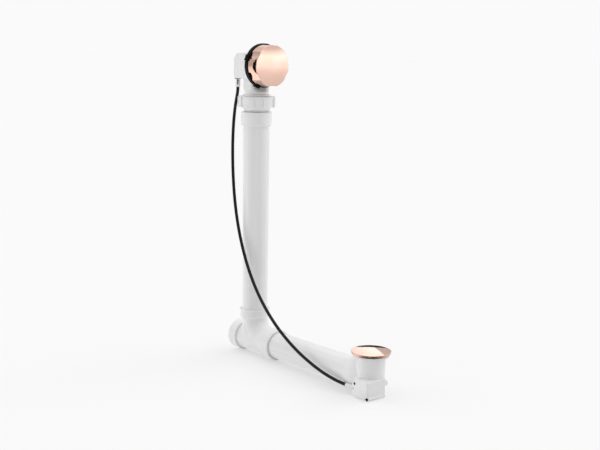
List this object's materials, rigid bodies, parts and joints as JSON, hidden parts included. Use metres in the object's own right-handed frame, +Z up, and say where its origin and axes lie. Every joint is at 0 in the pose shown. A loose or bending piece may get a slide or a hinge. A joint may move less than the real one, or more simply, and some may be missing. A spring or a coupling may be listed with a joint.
{
  "type": "bath waste and overflow",
  "caption": "Bath waste and overflow: a turning knob on the overflow head lifts a pop-up drain stopper by cable, on a plastic riser, tee and drain shoe.",
  "frame": {"origin": "On the drain axis, at the seat under the rim of the drain flange.", "axes": "+X runs from the riser towards the drain, the way the knob faces. +Z is up. +Y is across, away from the lever cover."},
  "size_m": [0.3981, 0.0831, 0.5847],
  "materials": {
    "white_pvc": "moulded, half gloss",
    "plated": "polished rose-gold plating",
    "black_rubber": "moulded, matt",
    "steel": "zinc plated",
    "dark_steel": "blackened",
    "brass": "turned",
    "acetal": "moulded",
    "black_plastic": "moulded",
    "polythene": "moulded"
  },
  "bodies": {
    "frame": {"tee": "white_pvc", "run_pipe": "white_pvc", "riser_pipe": "white_pvc", "riser_coupling": "white_pvc", "slip_nut": "white_pvc", "overflow_body": "white_pvc", "gear_cover": "white_pvc", "drain_shoe": "white_pvc", "lever_cover": "white_pvc", "drain_flange": "plated", "overflow_gasket": "black_rubber", "drain_gasket": "black_rubber", "spindle_o_ring": "black_rubber", "shaft_o_ring": "black_rubber", "retaining_plate": "steel", "retaining_screws": "steel", "gear_cover_screws": "steel", "cover_screws": "dark_steel", "ferrule_clip": "dark_steel", "upper_ferrule": "acetal", "lower_ferrule": "acetal", "cable": "black_plastic", "slip_washer": "polythene"},
    "knob": {"knob": "plated", "knob_set_screw": "steel", "spindle": "brass", "drive_pinion": "acetal", "pinion_screw": "steel"},
    "upper_rack": {"upper_rack": "acetal", "upper_wire": "steel"},
    "lower_rack": {"lower_rack": "acetal", "lower_wire": "steel"},
    "lever": {"lever_shaft": "acetal", "lifter_arm": "acetal"},
    "stopper": {"stopper": "plated", "stopper_stem": "brass", "stopper_seal": "black_rubber"}
  },
  "joints": [
    {"name": "knob_turn", "type": "hinge", "parent": "frame", "child": "knob", "pos_m": [-0.3175, 0, 0.4715], "axis": [-1, 0, 0], "range_deg": [0, 60]},
    {"name": "upper_rack_slide", "type": "slide", "parent": "frame", "child": "upper_rack", "axis": [0, 0, 1], "range_m": [0, 0.00733]},
    {"name": "lower_rack_slide", "type": "slide", "parent": "frame", "child": "lower_rack", "axis": [-1, 0, 0], "range_m": [0, 0.00733]},
    {"name": "lever_turn", "type": "hinge", "parent": "frame", "child": "lever", "pos_m": [0.014, 0, -0.052], "axis": [0, 1, 0], "range_deg": [0, 46.67]},
    {"name": "stopper_lift", "type": "slide", "parent": "frame", "child": "stopper", "axis": [0, 0, 1], "range_m": [0, 0.01109]}
  ],
  "couplings": [
    {"joint": "upper_rack_slide", "follows": "knob_turn", "m_per_rad": 0.007},
    {"joint": "lower_rack_slide", "follows": "knob_turn", "m_per_rad": 0.007},
    {"joint": "lever_turn", "follows": "knob_turn", "ratio": 0.77778},
    {"joint": "stopper_lift", "follows": "knob_turn", "m_per_rad": 0.01059}
  ]
}
